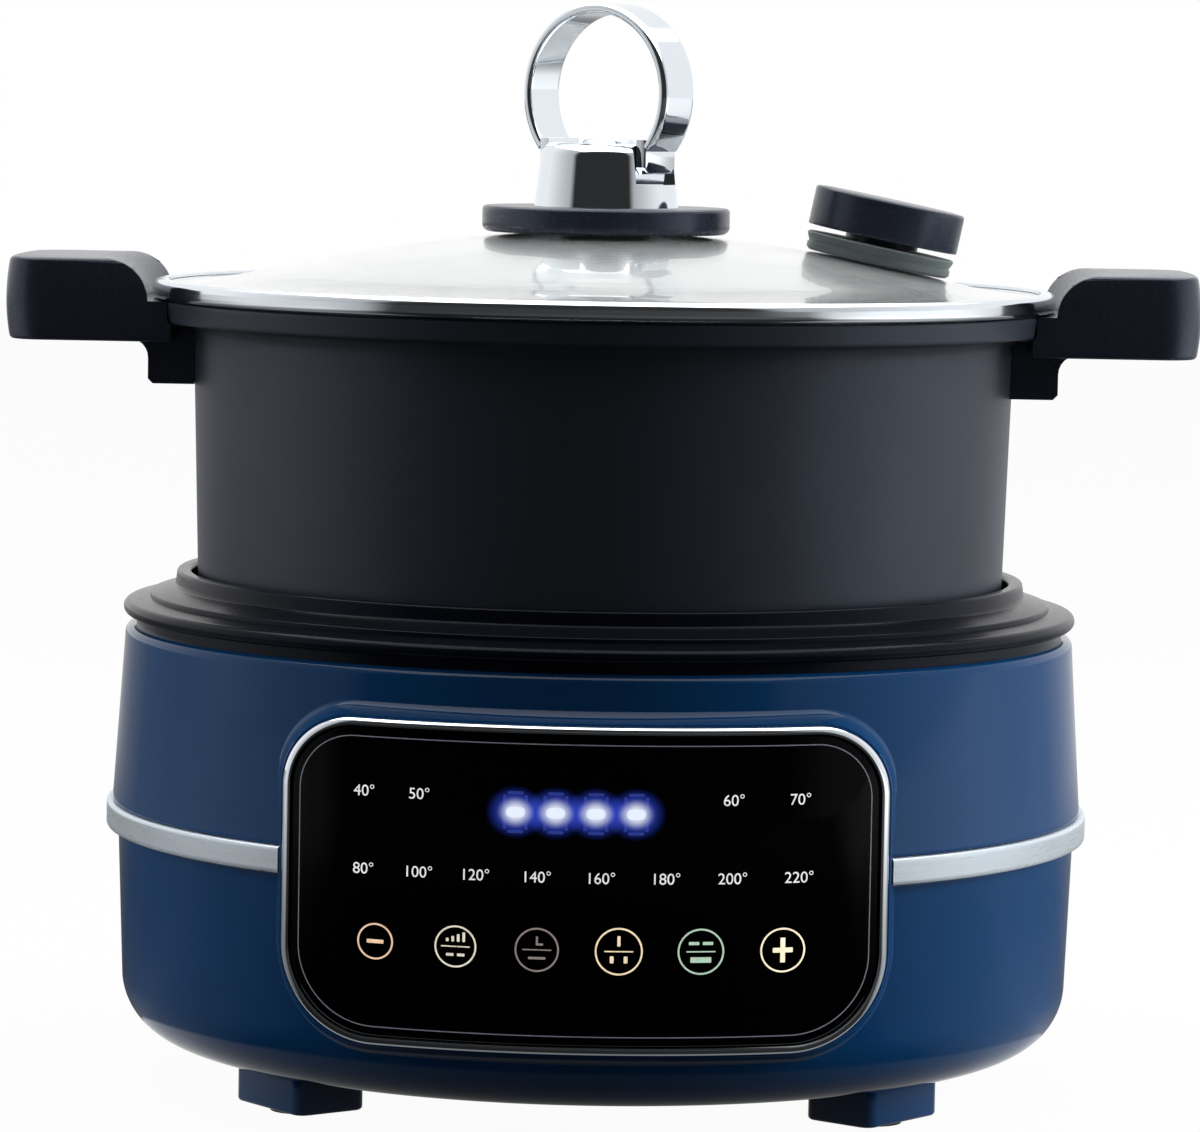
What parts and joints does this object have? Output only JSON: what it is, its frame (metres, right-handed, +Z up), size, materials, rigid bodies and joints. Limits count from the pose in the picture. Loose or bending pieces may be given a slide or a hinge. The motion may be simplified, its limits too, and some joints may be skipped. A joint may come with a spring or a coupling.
{
  "type": "multicooker",
  "caption": "Round countertop multicooker: heating base with a touch panel, lift-out pot with side handles, and a domed glass lid with a folding ring handle and a steam vent.",
  "frame": {"origin": "on the table under the middle of the base", "axes": "+Z up, the touch panel faces -Y, the pot's handles lie along X and the steam vent is on the +X side"},
  "size_m": [0.369, 0.3084, 0.3367],
  "materials": {
    "housing_blue": "gloss navy",
    "trim_silver": "satin silver",
    "collar_black": "moulded black with a fine grain",
    "chrome": "polished",
    "panel_black": "black backed glass",
    "pot_coating": "dark non-stick coating on cast aluminium",
    "bakelite_black": "moulded black",
    "lid_glass": "clear",
    "rim_steel": "polished sheet steel",
    "vent_grey": "moulded grey",
    "silicone_grey": "satin",
    "rubber_black": "matte",
    "liner_metal": "mill",
    "plate_metal": "turned casting",
    "heater_metal": "heat-darkened",
    "screw_steel": "zinc plated",
    "board_green": "solder mask",
    "component_body": "moulded",
    "winding_yellow": "taped winding",
    "fuse_ceramic": "bare",
    "pin_brass": "bright",
    "inlet_black": "moulded"
  },
  "bodies": {
    "base": {"upper_housing": "housing_blue", "lower_housing": "housing_blue", "trim_band": "trim_silver", "top_collar": "collar_black", "inner_liner": "liner_metal", "liner_screws": "screw_steel", "heating_plate": "plate_metal", "heating_element": "heater_metal", "plate_screws": "screw_steel", "thermal_fuse": "fuse_ceramic", "sensor_guide": "liner_metal", "sensor_spring": "screw_steel", "power_board": "board_green", "transformer": "winding_yellow", "relay": "component_body", "filter_capacitor": "component_body", "appliance_inlet": "inlet_black", "inlet_pins": "pin_brass", "bottom_cover": "inlet_black", "foot_front_left": "housing_blue", "foot_front_right": "housing_blue", "foot_rear_left": "housing_blue", "foot_rear_right": "housing_blue", "foot_pads": "rubber_black", "base_screws": "screw_steel", "panel_frame": "chrome", "panel_glass": "panel_black", "panel_carrier": "inlet_black", "control_board": "board_green", "display_module": "component_body", "touch_contacts": "pin_brass"},
    "sensor": {"temperature_sensor": "plate_metal", "sensor_clip": "screw_steel"},
    "pot": {"pot": "pot_coating", "handle_left": "bakelite_black", "handle_right": "bakelite_black", "handle_lugs": "screw_steel", "handle_screws": "screw_steel"},
    "lid": {"lid_glass": "lid_glass", "lid_rim": "rim_steel", "knob_base": "bakelite_black", "knob_gasket": "silicone_grey", "knob_washer": "silicone_grey", "knob_screw": "screw_steel", "knob_hub": "chrome", "pivot_pin": "screw_steel", "vent_seat": "vent_grey", "vent_nut": "vent_grey"},
    "ring": {"ring_handle": "chrome"},
    "vent": {"vent_cap": "bakelite_black"}
  },
  "joints": [
    {"name": "pot_lift", "type": "slide", "parent": "base", "child": "pot", "axis": [0, 0, 1], "range_m": [0, 0.12]},
    {"name": "lid_lift", "type": "slide", "parent": "pot", "child": "lid", "axis": [0, 0, 1], "range_m": [0, 0.1]},
    {"name": "ring_fold", "type": "hinge", "parent": "lid", "child": "ring", "pos_m": [0, 0, 0.28963], "axis": [0.809, -0.5878, 0], "range_deg": [-90, 90]},
    {"name": "vent_turn", "type": "hinge", "parent": "lid", "child": "vent", "pos_m": [0.0844, 0, 0.25736], "axis": [0.1963, 0, 0.9805], "range_deg": [0, 90]},
    {"name": "sensor_press", "type": "slide", "parent": "base", "child": "sensor", "axis": [0, 0, 1], "range_m": [-0.003, 0], "stiffness_N_per_m": 600, "springref_m": 0.002, "deforming": ["sensor_spring"]}
  ]
}
